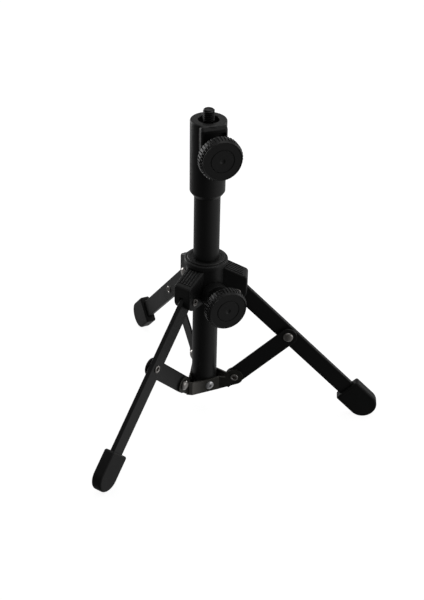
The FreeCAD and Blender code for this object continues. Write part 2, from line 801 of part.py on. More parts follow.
def leg(name, azimuth):
    holes = [(0, dim("rivet_hole")), (dim("link_length"), dim("rivet_radius"))]
    return flat_bar(f"leg_{name}", 0, dim("leg_length") - dim("leg_width") / 2, dim("leg_width") / 2,
                    dim("leg_thickness"), dim("edge_round"), holes, leg_frame(azimuth))


def brace(name, azimuth):
    holes = [(0, dim("rivet_hole")), (dim("link_length"), dim("rivet_hole"))]
    return flat_bar(f"brace_{name}", 0, dim("link_length"), dim("brace_width") / 2,
                    dim("brace_thickness"), dim("brace_edge_round"), holes, brace_frame(azimuth))


def shoe_outline(sketch):
    """Square-cut mouth, straight sides and a half-round tip, on the leg's centre line."""
    mouth, half = dim("foot_mouth"), dim("foot_radius")
    tip = dim("foot_tip") - half
    near, far, r = mouth.number, tip.number, half.number
    corners = [FreeCAD.Vector(x, y, 0) for x, y in ((near, -r), (far, -r), (far, r), (near, r))]
    end = Part.Circle(FreeCAD.Vector(far, 0, 0), FreeCAD.Vector(0, 0, 1), r)
    lower = sketch.addGeometry(Part.LineSegment(corners[0], corners[1]))
    arc = sketch.addGeometry(Part.ArcOfCircle(end, -math.pi / 2, math.pi / 2))
    upper = sketch.addGeometry(Part.LineSegment(corners[2], corners[3]))
    back = sketch.addGeometry(Part.LineSegment(corners[3], corners[0]))
    sketch.addConstraint(Sketcher.Constraint("Tangent", lower, 2, arc, 1))
    sketch.addConstraint(Sketcher.Constraint("Tangent", arc, 2, upper, 1))
    sketch.addConstraint(Sketcher.Constraint("Coincident", upper, 2, back, 1))
    sketch.addConstraint(Sketcher.Constraint("Coincident", back, 2, lower, 1))
    sketch.addConstraint(Sketcher.Constraint("Vertical", back))
    sketch.addConstraint(Sketcher.Constraint("PointOnObject", arc, 3, -1))
    drive(sketch, Sketcher.Constraint("DistanceX", -1, 1, arc, 3, far), tip)
    drive(sketch, Sketcher.Constraint("DistanceX", -1, 1, lower, 1, near), mouth)
    drive(sketch, Sketcher.Constraint("Radius", arc, r), half)


def shoe(name, azimuth):
    """The rubber shoe before the leg's pocket is taken out of it."""
    body = doc.addObject("PartDesign::Body", f"shoe_{name}")
    outline = new_sketch(body, f"shoe_outline_{name}")
    shoe_outline(outline)
    pad = body.newObject("PartDesign::Pad", f"shoe_pad_{name}")
    pad.Profile = outline
    pad.Midplane = True
    bind(pad, Length=dim("foot_thickness"))
    doc.recompute()
    on_face = DIMENSIONS["foot_thickness"] / 2
    corners = []
    for index, edge in enumerate(pad.Shape.Edges, start=1):
        middle = edge.CenterOfMass
        if abs(middle.y) < on_face - 1e-6 and abs(middle.x - DIMENSIONS["foot_mouth"]) < NEAR:
            corners.append(f"Edge{index}")
    corner_fillet = body.newObject("PartDesign::Fillet", f"shoe_corners_{name}")
    corner_fillet.Base = (pad, corners)
    bind(corner_fillet, Radius=dim("foot_mouth_corner"))
    doc.recompute()
    rims = []
    for index, edge in enumerate(corner_fillet.Shape.Edges, start=1):
        if abs(abs(edge.CenterOfMass.y) - on_face) < NEAR:
            rims.append(f"Edge{index}")
    rim_fillet = body.newObject("PartDesign::Fillet", f"shoe_rims_{name}")
    rim_fillet.Base = (corner_fillet, rims)
    bind(rim_fillet, Radius=dim("foot_round"))
    body.Placement = leg_frame(azimuth)
    return body


def foot(name, azimuth):
    """Rubber shoe moulded over the end of a leg."""
    blank = flat_bar(f"shoe_core_{name}", 0, dim("leg_length") - dim("leg_width") / 2, dim("leg_width") / 2,
                     dim("leg_thickness"), dim("edge_round"), [], leg_frame(azimuth))
    return cut(f"foot_{name}", shoe(name, azimuth), blank)


def spacer_washer(name, azimuth):
    """Washer that keeps a brace clear of its leg by an ear's thickness."""
    middle = dim("inner_ear") - dim("washer_thickness") / 2
    return ring(f"spacer_washer_{name}", dim("rivet_radius"), dim("washer_radius"), 0,
                dim("washer_thickness"), brace_pivot(azimuth, middle))


def brace_pivot(azimuth, offset):
    reach = dim("link_length")
    return tangential(azimuth, dim("pivot_circle") + reach * dim("leg_angle").cos(), offset,
                      dim("pivot_height") - reach * dim("leg_angle").sin())


def semi_tubular_rivet(name, grip, placement):
    """Rivet along local Z: domed head below zero, rolled hollow end above the grip."""
    rise, reach = DIMENSIONS["rivet_dome_height"], DIMENSIONS["rivet_dome_radius"]
    ball_radius = (reach * reach + rise * rise) / (2 * rise)
    dome = doc.addObject("Part::Sphere", name + "_dome")
    dome.Radius = ball_radius
    dome.Angle1 = math.degrees(math.asin((ball_radius - rise) / ball_radius))
    dome.Placement = at(0, 0, ball_radius - rise, about("x", 180))
    shank = cylinder(name + "_shank", dim("rivet_radius"), grip)
    roll = turned(name + "_roll", [
        (0, grip), (dim("rivet_ring_radius"), grip),
        (dim("rivet_ring_radius"), grip + dim("rivet_ring_height") / 2),
        (dim("rivet_ring_crest"), grip + dim("rivet_ring_height")),
        (dim("rivet_ring_lip"), grip + dim("rivet_ring_height")), (0, grip + dim("rivet_ring_dip"))])
    solid = fuse(name + "_solid", dome, shank, roll)
    hollow = cylinder(name + "_hollow", dim("rivet_hollow_radius"), dim("rivet_hollow_depth") + 1,
                      at(0, 0, size(grip) - dim("rivet_hollow_depth") + dim("rivet_ring_height")))
    rivet = cut(name, solid, hollow)
    rivet.Placement = placement
    return rivet


def brace_rivet(name, azimuth):
    outer_face = dim("brace_offset") - dim("brace_thickness") / 2
    grip = dim("leg_thickness") / 2 - outer_face
    return semi_tubular_rivet(f"brace_rivet_{name}", grip, brace_pivot(azimuth, outer_face))


def spider_rivets():
    """Heads on the anticlockwise side of each joint, rolled ends on the clockwise side."""
    inner_face = dim("inner_ear") + dim("strip_thickness") / 2
    outer_face = dim("outer_ear") - dim("strip_thickness") / 2
    flip = FreeCAD.Placement(FreeCAD.Vector(0, 0, 0), about("x", 180))
    rivets = []
    for name, azimuth in LEGS.items():
        place = tangential(azimuth, dim("pivot_circle"), inner_face, SPIDER_HEIGHT).multiply(flip)
        rivets.append(semi_tubular_rivet(f"spider_rivet_{name}", inner_face - outer_face, place))
    return group("spider_rivets", *rivets)


def hub_rivets():
    """The front leg's rivet is set the other way round from the other two."""
    flip = FreeCAD.Placement(FreeCAD.Vector(0, 0, 0), about("x", 180))
    rivets = []
    for name, azimuth in LEGS.items():
        side = -1 if name == "front" else 1
        place = tangential(azimuth, dim("pivot_circle"), dim("block_half") * side, dim("pivot_height"))
        if side > 0:
            place = place.multiply(flip)
        rivets.append(semi_tubular_rivet(f"hub_rivet_{name}", dim("block_half") * 2, place))
    return group("hub_rivets", *rivets)


# ---------------------------------------------------------------- spider

def ear(name, azimuth, offset):
    start = offset - dim("strip_thickness") / 2
    return cylinder(name, dim("ear_radius"), dim("strip_thickness"),
                    tangential(azimuth, dim("pivot_circle"), start, SPIDER_HEIGHT))


def strip_arm(name, azimuth, offset, start):
    """Radial part of a strip: as tall as the strip at its bend, drawn in to the ear."""
    body = doc.addObject("PartDesign::Body", name)
    side = new_sketch(body, name + "_side")
    pivot, low, top = dim("pivot_circle"), STRIP_LOW, STRIP_LOW + dim("strip_height")
    polygon(side, [(start, low), (pivot + dim("strip_arm_reach"), SPIDER_HEIGHT - dim("strip_arm_low")),
                   (pivot, top), (start, top)])
    pad = body.newObject("PartDesign::Pad", name + "_pad")
    pad.Profile = side
    pad.Midplane = True
    bind(pad, Length=dim("strip_thickness"))
    body.Placement = turned_about_z(azimuth, at(0, offset, 0))
    return body


def strip_bend(name, azimuth, distance, offset):
    """Rounded corner between two flat parts of a strip."""
    return cylinder(name, dim("strip_thickness") / 2, dim("strip_height"),
                    turned_about_z(azimuth, at(distance, offset, STRIP_LOW)))


def spider_strip(name, azimuth):
    """Bent strip: an ear by one leg, a flat against the tube, a jog, and an ear by the next leg."""
    turn = DIMENSIONS["blind_rivet_turn"]
    next_azimuth = azimuth - LEG_SPACING
    to_flat, from_flat = math.radians(turn), math.radians(LEG_SPACING - turn)
    middle = dim("tube_radius") + dim("strip_thickness") / 2
    right = (dim("outer_ear") + middle * math.sin(to_flat)) / math.cos(to_flat)
    left = (middle * math.cos(from_flat) - dim("strip_jog_start")) / math.sin(from_flat)
    arm_start = middle * math.cos(to_flat) + right * math.sin(to_flat)
    jog_offset = middle * math.sin(from_flat) + left * math.cos(from_flat)
    flat = box(f"strip_flat_{name}", dim("strip_thickness"), right - left, dim("strip_height"),
               turned_about_z(azimuth - turn, at(dim("tube_radius"), (right + left) / 2, STRIP_LOW)))
    run = dim("strip_jog_end") - dim("strip_jog_start")
    step = dim("inner_ear") - jog_offset
    jog_turn = math.degrees(math.atan2(step.number, run.number))
    jog_place = at(dim("strip_jog_start"), jog_offset, STRIP_LOW, about("z", jog_turn))
    jog = box(f"strip_jog_{name}", math.hypot(run.number, step.number), dim("strip_thickness"),
              dim("strip_height"), turned_about_z(next_azimuth, jog_place))
    whole = fuse(f"strip_whole_{name}", flat, jog,
                 strip_arm(f"arm_out_{name}", azimuth, dim("outer_ear"), arm_start),
                 strip_arm(f"arm_in_{name}", next_azimuth, dim("inner_ear"), dim("strip_jog_end")),
                 strip_bend(f"bend_out_{name}", azimuth, arm_start, dim("outer_ear")),
                 strip_bend(f"bend_flat_{name}", next_azimuth, dim("strip_jog_start"), jog_offset),
                 strip_bend(f"bend_in_{name}", next_azimuth, dim("strip_jog_end"), dim("inner_ear")),
                 ear(f"ear_out_{name}", azimuth, dim("outer_ear")),
                 ear(f"ear_in_{name}", next_azimuth, dim("inner_ear")))
    tools = [cylinder(f"strip_rivet_hole_{name}", dim("rivet_radius"), dim("tube_radius") * 2,
                      blind_place(azimuth))]
    for label, at_leg in (("out", azimuth), ("in", next_azimuth)):
        tools.append(cylinder(f"ear_hole_{label}_{name}", dim("rivet_radius"), dim("ear_radius") * 2,
                              tangential(at_leg, dim("pivot_circle"), -dim("ear_radius"), SPIDER_HEIGHT)))
    return cut(f"spider_strip_{name}", whole, *tools)


def blind_rivets():
    """Aluminium blind rivets that hold the strips to the tube."""
    outer = dim("tube_radius") + dim("strip_thickness")
    end = OUTER_TUBE_BORE - dim("blind_bulb_length")
    rivets = []
    for name, azimuth in LEGS.items():
        corners = [
            (dim("blind_hollow_radius"), end), (dim("rivet_radius"), end),
            (dim("blind_bulb_radius"), end + dim("blind_step")),
            (dim("blind_bulb_radius"), OUTER_TUBE_BORE - dim("blind_step")),
            (dim("rivet_radius"), OUTER_TUBE_BORE - dim("blind_clearance")),
            (dim("rivet_radius"), outer), (dim("blind_head_radius"), outer),
            (dim("blind_head_radius"), outer + dim("blind_head_edge")),
            (dim("blind_head_shoulder"), outer + dim("blind_head_shoulder_height")),
            (dim("blind_head_crest"), outer + dim("blind_head_height")),
            (dim("blind_hollow_radius"), outer + dim("blind_head_height"))]
        rivets.append(turned(f"blind_rivet_{name}", corners, blind_place(azimuth)))
    return group("blind_rivets", *rivets)


# ---------------------------------------------------------------- the stand

def build_column():
    return [main_tube(), tube_plug(), top_collar(), guide_bushing(), inner_tube(), inner_tube_foot(),
            stud_plug(), mic_stud()]


def build_clamps():
    parts = []
    settings = {
        "upper": (dim("inner_radius"), dim("pad_length")),
        "lower": (dim("tube_radius"), dim("lower_pad_length"))}
    for side, (shaft, pad_length) in settings.items():
        azimuth, height = dim(side + "_azimuth"), dim(side + "_height")
        face = dim(side + "_face")
        pad_end = shaft + dim("touch_gap") + pad_length
        parts.append(clamp_pad(side + "_pad", azimuth, height, shaft, pad_length))
        parts.append(clamp_insert(side + "_insert", azimuth, height, dim(side + "_insert_in"),
                                  dim(side + "_insert_out")))
        parts.append(clamp_screw(side + "_screw", azimuth, height, pad_end, face))
        parts.append(clamp_knob(side + "_knob", azimuth, height, face))
    return parts


def build_legs():
    parts = []
    for name, azimuth in LEGS.items():
        parts += [leg(name, azimuth), foot(name, azimuth), brace(name, azimuth),
                  spacer_washer(name, azimuth), brace_rivet(name, azimuth), spider_strip(name, azimuth)]
    return parts


def check_document():
    for thing in doc.Objects:
        troubled = [state for state in thing.State if state in ("Invalid", "Error")]
        if troubled:
            raise RuntimeError(f"{thing.Name} is {troubled}")


def export(parts):
    os.makedirs("parts", exist_ok=True)
    for part in parts:
        shape = part.Shape
        if shape.isNull() or not shape.isValid() or not shape.Solids:
            raise RuntimeError(f"{part.Label} has no valid shape")
        print(f"{part.Label:24s} solids {len(shape.Solids)} faces {len(shape.Faces):4d} "
              f"volume {shape.Volume:10.1f}")
        shape.exportStep(f"parts/{part.Label}.step")


stand = build_column() + build_clamps() + [hub_body(), hub_bushing(), hub_rivets()] + build_legs()
stand += [spider_rivets(), blind_rivets()]
doc.recompute()
check_document()
export(stand)
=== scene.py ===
import json
import math

import bpy
import numpy as np
from mathutils import Matrix, Vector


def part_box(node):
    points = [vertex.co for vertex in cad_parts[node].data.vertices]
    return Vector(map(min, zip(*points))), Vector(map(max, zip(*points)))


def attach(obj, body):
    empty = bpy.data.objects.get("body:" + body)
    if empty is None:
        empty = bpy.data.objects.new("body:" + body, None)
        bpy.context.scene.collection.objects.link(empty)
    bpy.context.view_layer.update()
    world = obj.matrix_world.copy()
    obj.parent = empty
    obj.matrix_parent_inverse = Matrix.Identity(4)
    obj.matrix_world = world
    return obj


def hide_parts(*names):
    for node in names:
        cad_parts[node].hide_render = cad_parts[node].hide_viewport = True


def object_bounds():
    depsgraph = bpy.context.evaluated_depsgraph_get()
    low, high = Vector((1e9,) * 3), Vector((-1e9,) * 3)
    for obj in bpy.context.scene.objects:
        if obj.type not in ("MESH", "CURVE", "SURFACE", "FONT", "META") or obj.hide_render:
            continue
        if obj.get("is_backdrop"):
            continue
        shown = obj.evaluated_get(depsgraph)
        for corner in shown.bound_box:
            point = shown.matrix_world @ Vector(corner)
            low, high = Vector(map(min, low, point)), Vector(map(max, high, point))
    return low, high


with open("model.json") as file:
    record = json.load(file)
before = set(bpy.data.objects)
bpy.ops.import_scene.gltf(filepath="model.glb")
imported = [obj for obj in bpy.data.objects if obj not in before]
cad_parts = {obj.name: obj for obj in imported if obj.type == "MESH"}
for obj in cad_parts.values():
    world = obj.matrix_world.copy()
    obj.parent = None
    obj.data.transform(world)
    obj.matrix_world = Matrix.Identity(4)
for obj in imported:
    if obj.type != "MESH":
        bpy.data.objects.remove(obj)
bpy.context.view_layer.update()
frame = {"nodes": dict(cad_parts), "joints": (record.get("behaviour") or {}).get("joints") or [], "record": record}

MM = 0.001
JOINTS = {joint["name"]: joint for joint in frame["joints"]}
SLOTS = {part["node"]: part["material_slot"] for part in frame["record"]["subparts"]}
LEGS = ("right", "rear", "front")
LEG_SPACING = 120.0
BLIND_RIVET_AZIMUTH = -62.0
KNOB_RIBS = 40
RIVET_SIDES = 48
THREAD_STEPS = 12  # rows of vertices in one turn of a thread
WHOLE_NODE = 1.0  # a reach, in metres, that takes in all of any node

# The photograph's camera, in the CAD frame; degrees, metres, and the lens in mm on a 36 mm sensor.
CAMERA_AZIMUTH = -86.25
CAMERA_ELEVATION = 32.34
CAMERA_ROLL = 1.22
CAMERA_DISTANCE = 1.0814
CAMERA_TARGET = Vector((0.00565, 0.00037, -0.1697))
CAMERA_LENS = 75.06

# Studio, in metres.
PANEL_DISTANCE = 1.3
FLOOR_HALF_SIDE = 40.0


# ---------------------------------------------------------------- node graphs

class Graph:
    """Small wrapper that adds and links shader nodes."""

    def __init__(self, tree):
        self.tree = tree
        tree.nodes.clear()

    def add(self, kind, values=None, **settings):
        node = self.tree.nodes.new("ShaderNode" + kind)
        for key, value in settings.items():
            setattr(node, key, value)
        for key, value in (values or {}).items():
            self.put(node.inputs[key], value)
        return node

    def put(self, socket, value):
        if isinstance(value, bpy.types.NodeSocket):
            self.tree.links.new(value, socket)
        else:
            socket.default_value = value

    def math(self, operation, a, b=0.0):
        node = self.add("Math", operation=operation)
        self.put(node.inputs[0], a)
        self.put(node.inputs[1], b)
        return node.outputs[0]

    def remap(self, value, low, high, to_low, to_high):
        node = self.add("MapRange", {"Value": value, "From Min": low, "From Max": high,
                                     "To Min": to_low, "To Max": to_high})
        return node.outputs[0]

    def noise(self, vector, scale, detail=3.0, roughness=0.5):
        node = self.add("TexNoise", {"Vector": vector, "Scale": scale, "Detail": detail,
                                     "Roughness": roughness})
        return node.outputs["Fac"]

    def stretched(self, vector, factors, turn=(0.0, 0.0, 0.0)):
        node = self.add("Mapping", {"Vector": vector, "Scale": factors, "Rotation": turn})
        return node.outputs[0]

    def blend(self, factor, a, b):
        node = self.add("Mix", data_type="RGBA")
        self.put(node.inputs["Factor"], factor)
        self.put(node.inputs[6], a)
        self.put(node.inputs[7], b)
        return node.outputs[2]

    def openness(self, distance):
        """1 on open faces, falling towards 0 down in grooves and holes of this size."""
        node = self.add("AmbientOcclusion", {"Distance": distance}, samples=8, only_local=True)
        return node.outputs["AO"]

    def bump(self, height, strength, distance, normal=None):
        values = {"Height": height, "Strength": strength, "Distance": distance}
        if normal is not None:
            values["Normal"] = normal
        return self.add("Bump", values).outputs[0]


def grey(level):
    """Linear colour of an even grey."""
    return (level, level, level, 1.0)


def start_material(name):
    """Empty material with its graph and its object coordinates."""
    material = bpy.data.materials.new(name)
    material.use_nodes = True
    graph = Graph(material.node_tree)
    place = graph.add("TexCoord").outputs["Object"]
    return material, graph, place


def end_material(graph, values):
    shader = graph.add("BsdfPrincipled", values)
    output = graph.add("OutputMaterial")
    graph.put(output.inputs["Surface"], shader.outputs[0])


def edge_wear(graph, radius, low, high):
    """1 on sharp edges and 0 on flats, from the difference of the rounded and the true normal."""
    soft = graph.add("Bevel", {"Radius": radius}, samples=6).outputs[0]
    true = graph.add("NewGeometry").outputs["Normal"]
    node = graph.add("VectorMath", operation="DOT_PRODUCT")
    graph.put(node.inputs[0], soft)
    graph.put(node.inputs[1], true)
    return graph.remap(node.outputs["Value"], high, low, 0.0, 1.0)


def painted(name, specular, edge):
    """Satin black paint on steel: faint orange peel, cloudy sheen and hairline scratches."""
    material, graph, place = start_material(name)
    soft = graph.add("Bevel", {"Radius": edge * MM}, samples=8).outputs[0]
    peel = graph.noise(place, 900.0, 2.0)
    cloud = graph.noise(place, 45.0, 4.0)
    hairline = graph.noise(graph.stretched(place, (2600.0, 2600.0, 60.0), (0.2, 0.5, 0.9)), 1.0, 2.0)
    scratch = graph.remap(hairline, 0.72, 0.78, 0.0, 1.0)
    colour = graph.blend(graph.math("MULTIPLY", scratch, 0.35), grey(0.017), grey(0.045))
    rough = graph.math("ADD", graph.remap(cloud, 0.3, 0.7, 0.36, 0.43),
                       graph.math("MULTIPLY", scratch, 0.08))
    end_material(graph, {"Base Color": colour, "Roughness": rough, "Specular IOR Level": specular,
                         "Normal": graph.bump(peel, 0.10, 0.05 * MM, soft)})
    return material


def moulded(name, level, rough, grain, strength, edge=0.5):
    """Black moulded plastic with a fine spark-eroded grain; painted shade dims its gleam down in its grooves."""
    material, graph, place = start_material(name)
    soft = graph.add("Bevel", {"Radius": edge * MM}, samples=6).outputs[0]
    cells = graph.noise(place, grain, 3.0, 0.6)
    cloud = graph.noise(place, 70.0, 3.0)
    dust = graph.remap(graph.noise(place, 1400.0, 1.0), 0.74, 0.8, 0.0, 0.4)
    colour = graph.blend(dust, grey(level), grey(level * 4 + 0.01))
    roughness = graph.remap(cloud, 0.3, 0.7, rough - 0.04, rough + 0.04)
    # painted shade: the specular level falls where ambient occlusion finds grooves
    groove_shaded_gleam = graph.remap(graph.openness(1.1 * MM), 0.45, 0.9, 0.08, 0.5)
    end_material(graph, {"Base Color": colour, "Roughness": roughness, "Specular IOR Level": groove_shaded_gleam,
                         "Normal": graph.bump(cells, strength, 0.08 * MM, soft)})
    return material


def rubber(name):
    """Matt black rubber with faint flow marks and a bloom of dust."""
    material, graph, place = start_material(name)
    soft = graph.add("Bevel", {"Radius": 1.0 * MM}, samples=8).outputs[0]
    pores = graph.noise(place, 1500.0, 3.0, 0.7)
    flow = graph.noise(graph.stretched(place, (90.0, 90.0, 30.0)), 1.0, 3.0)
    colour = graph.blend(graph.remap(flow, 0.4, 0.75, 0.0, 0.5), grey(0.017), grey(0.026))
    rough = graph.remap(flow, 0.3, 0.7, 0.44, 0.52)
    end_material(graph, {"Base Color": colour, "Roughness": rough, "Specular IOR Level": 0.24,
                         "Normal": graph.bump(pores, 0.12, 0.06 * MM, soft)})
    return material


def rolled_strip(name):
    """Dark oxide strip: rolling streaks, bare metal on sheared edges, and a painted highlight that lightens it
    towards its jog.
    """
    material, graph, place = start_material(name)
    soft = graph.add("Bevel", {"Radius": 0.25 * MM}, samples=6).outputs[0]
    streak = graph.noise(graph.stretched(place, (60.0, 60.0, 3200.0)), 1.0, 3.0)
    blotch = graph.noise(place, 240.0, 4.0, 0.6)
    worn = graph.math("MULTIPLY", edge_wear(graph, 0.3 * MM, 0.9, 0.995), 0.5)
    dark = graph.blend(graph.remap(blotch, 0.35, 0.7, 0.0, 1.0),
                       (0.058, 0.056, 0.05, 1), (0.095, 0.092, 0.083, 1))
    # painted highlight: the colour lightens from near the blind rivet out towards the strip's jog on one side
    split = graph.add("SeparateXYZ", {"Vector": place})
    turn = graph.math("DEGREES", graph.math("ARCTAN2", split.outputs["Y"], split.outputs["X"]))
    half = LEG_SPACING / 2
    past_middle = graph.math("ADD", turn, half - BLIND_RIVET_AZIMUTH)
    from_rivet = graph.math("SUBTRACT", graph.math("FLOORED_MODULO", past_middle, LEG_SPACING), half)
    painted_highlight_share = graph.remap(from_rivet, -52.0, -8.0, 1.0, 0.0)
    dark = graph.blend(graph.math("MULTIPLY", painted_highlight_share, painted_highlight_share), dark, (0.27, 0.26, 0.24, 1))
    colour = graph.blend(worn, dark, (0.2, 0.195, 0.18, 1))
    rough = graph.remap(streak, 0.3, 0.7, 0.34, 0.5)
    end_material(graph, {"Base Color": colour, "Roughness": rough, "Metallic": 0.75,
                         "Normal": graph.bump(streak, 0.12, 0.03 * MM, soft)})
    return material


def bright_metal(name, colour, stain, rough):
    """Plated or bare metal: fine tool marks, stains in patches, and painted shade that darkens its holes."""
    material, graph, place = start_material(name)
    marks = graph.noise(place, 3000.0, 2.0)
    patch = graph.noise(place, 520.0, 3.0)
    stains_and_painted_shade = graph.blend(graph.remap(patch, 0.42, 0.68, 0.0, 1.0), colour, stain)
    # painted shade: the colour goes near black where ambient occlusion finds holes and recesses
    outside_painted_shade = graph.remap(graph.openness(1.6 * MM), 0.35, 0.75, 0.0, 1.0)
    stains_and_painted_shade = graph.blend(outside_painted_shade, grey(0.004), stains_and_painted_shade)
    roughness = graph.remap(patch, 0.3, 0.7, rough - 0.06, rough + 0.08)
    end_material(graph, {"Base Color": stains_and_painted_shade, "Roughness": roughness, "Metallic": 1.0,
                         "Normal": graph.bump(marks, 0.15, 0.02 * MM)})
    return material


# One material for each of the record's slots; painted_bar is painted_steel's variant for flat bars.
# moulded takes grey level, roughness, grain scale, grain strength and edge rounding in mm;
# bright_metal takes its colour, the colour of its stains, and roughness.
MATERIALS = {
    "painted_steel": painted("painted_steel", specular=0.5, edge=0.45),
    "painted_bar": painted("painted_bar", specular=0.33, edge=0.9),
    "collar_plastic": moulded("collar_plastic", 0.016, 0.42, 1500.0, 0.2, 0.9),
    "hub_plastic": moulded("hub_plastic", 0.016, 0.45, 1300.0, 0.2),
    "knob_plastic": moulded("knob_plastic", 0.0085, 0.42, 1600.0, 0.22, 0.2),
    "black_plastic": moulded("black_plastic", 0.006, 0.42, 2000.0, 0.15),
    "bushing_plastic": moulded("bushing_plastic", 0.012, 0.34, 2500.0, 0.08, 0.3),
    "foot_rubber": rubber("foot_rubber"),
    "dark_strip": rolled_strip("dark_strip"),
    "bright_steel": bright_metal("bright_steel", (0.60, 0.58, 0.56, 1),
                                 (0.44, 0.415, 0.39, 1), 0.27),
    "stud_steel": bright_metal("stud_steel", (0.055, 0.055, 0.056, 1),
                               (0.03, 0.029, 0.028, 1), 0.36),
    "insert_brass": bright_metal("insert_brass", (0.6, 0.44, 0.2, 1),
                                 (0.4, 0.27, 0.11, 1), 0.3),
    "bare_aluminium": bright_metal("bare_aluminium", (0.82, 0.82, 0.83, 1),
                                   (0.62, 0.62, 0.63, 1), 0.3),
}


def dress(obj, slot):
    obj.data.materials.clear()
    obj.data.materials.append(MATERIALS[slot])


# ---------------------------------------------------------------- turned pieces

class Axis:
    """A line in the CAD frame; points on turned pieces are (along it, radius, angle), in metres."""

    def __init__(self, origin, direction):
        self.origin = np.array(origin, float)
        self.along = np.array(direction, float) / np.linalg.norm(direction)
        spare = (0.0, 0.0, 1.0) if abs(self.along[2]) < 0.9 else (1.0, 0.0, 0.0)
        self.side = np.cross(spare, self.along)
        self.side /= np.linalg.norm(self.side)
        self.up = np.cross(self.along, self.side)

    def point(self, along, radius, angle):
        spoke = np.outer(np.cos(angle), self.side) + np.outer(np.sin(angle), self.up)
        return self.origin + along * self.along + np.asarray(radius)[:, None] * spoke

    def span(self, node, reach):
        """Lowest and highest place along the axis of a node's vertices within reach of the axis."""
        points = np.array([v.co for v in frame["nodes"][node].data.vertices]) - self.origin
        along = points @ self.along
        radius = np.linalg.norm(points - np.outer(along, self.along), axis=1)
        near = radius < reach
        return along[near].min(), along[near].max(), radius[near].max()


def turned(name, axis, rows, angle, radius_at=None, smooth=40.0):
    """Mesh of revolution.

    rows are (along, radius); angle is a number of even steps or an array of angles; radius_at may
    change a row's radius by angle; edges sharper than smooth degrees stay sharp.
    """
    if isinstance(angle, int):
        angle = np.linspace(0.0, 2 * math.pi, angle, endpoint=False)
    segments = len(angle)
    points, faces, rings = [], [], []
    for number, (along, radius) in enumerate(rows):
        if radius <= 0.0:
            rings.append([len(points)])
            points.append(axis.origin + along * axis.along)
            continue
        radii = np.full(segments, radius)
        if radius_at is not None:
            radii = radius_at(number, along, radius, angle)
        rings.append(list(range(len(points), len(points) + segments)))
        points.extend(axis.point(along, radii, angle))
    for low, high in zip(rings, rings[1:]):
        for k in range(segments):
            after = (k + 1) % segments
            if len(low) == 1:
                faces.append((low[0], high[after], high[k]))
            elif len(high) == 1:
                faces.append((low[k], low[after], high[0]))
            else:
                faces.append((low[k], low[after], high[after], high[k]))
    mesh = bpy.data.meshes.new(name)
    mesh.from_pydata([tuple(p) for p in points], [], faces)
    mesh.shade_smooth()
    mesh.set_sharp_from_angle(angle=math.radians(smooth))
    obj = bpy.data.objects.new(name, mesh)
    bpy.context.scene.collection.objects.link(obj)
    return obj


def place(obj, body, node):
    """Puts a new piece on its body, in the place of its CAD node, with that node's finish."""
    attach(obj, body)
    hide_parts(node)
    dress(obj, SLOTS[node])


def arc(centre_along, centre_radius, size, start, stop, steps):
    """Rows along a round corner; angles in degrees, 0 pointing outward and 90 along the axis."""
    rows = []
    for angle in np.radians(np.linspace(start, stop, steps)):
        rows.append((centre_along + size * math.sin(angle),
                     centre_radius + size * math.cos(angle)))
    return rows


def thread_cut(along, angle, pitch):
    """How far below the crest a right-handed 60 degree thread is, for each angle."""
    depth, half_crest, flank_width = 0.6134 * pitch, 1 / 16, 5 / 16
    phase = (along / pitch - angle / (2 * math.pi)) % 1.0
    from_crest = np.abs(phase - 0.5)
    return depth * np.clip((from_crest - half_crest) / flank_width, 0.0, 1.0)


def threaded(name, axis, low, high, major, pitch, chamfer, run_out):
    """Threaded rod with a chamfered end at high and a fading thread at low."""
    levels = np.append(np.arange(low, high, pitch / THREAD_STEPS), high)

    def radius_at(number, along, radius, angle):
        fade = min(1.0, max(0.0, (along - low) / run_out))
        cut = thread_cut(along, angle, pitch) * fade
        limit = major - max(0.0, along - (high - chamfer))
        return np.minimum(major - cut, limit)

    rows = [(low, 0.0)] + [(level, major) for level in levels] + [(high, 0.0)]
    return turned(name, axis, rows, 60, radius_at, smooth=60.0)


def mic_stud():
    """3/8 inch stud: 16 turns per inch above a run-out groove, and a plain shank in the plug."""
    low, high = (corner.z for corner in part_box("mic_stud"))
    axis = Axis((0, 0, 0), (0, 0, 1))
    major, pitch, chamfer = 4.7625 * MM, 25.4 / 16 * MM, 0.9 * MM
    groove, groove_top, groove_bottom = 3.95 * MM, -1.5 * MM, -4.5 * MM
    levels = list(np.arange(groove_top, high, pitch / THREAD_STEPS)) + [high]
    shank = [(low, 0.0), (low, major * 0.93), (low + 0.4 * MM, major), (groove_bottom, major),
             (groove_bottom + 0.3 * MM, groove), (groove_top - 0.5 * MM, groove)]
    thread = [(level, major) for level in levels]
    end = [(high, major - chamfer - 0.4 * MM), (high - 0.15 * MM, 1.2 * MM), (high - 0.5 * MM, 0.0)]
    rows = shank + thread + end

    def radius_at(number, along, radius, angle):
        if along < groove_top or number >= len(shank) + len(thread):
            return np.full(angle.shape, radius)
        fade = np.clip((along - groove_top) / pitch, 0.0, 1.0)
        crest = groove + (major - groove) * min(1.0, fade * 1.6)
        limit = min(crest, major - max(0.0, along - (high - chamfer)))
        return np.minimum(major - thread_cut(along, angle, pitch), limit)

    stud = turned("mic_stud_thread", axis, rows, 72, radius_at, smooth=60.0)
    place(stud, "inner_tube", "mic_stud")


def knob_axis(side):
    joint = JOINTS[f"{side}_knob_turn"]
    return Axis(joint["pos_m"], joint["axis"])


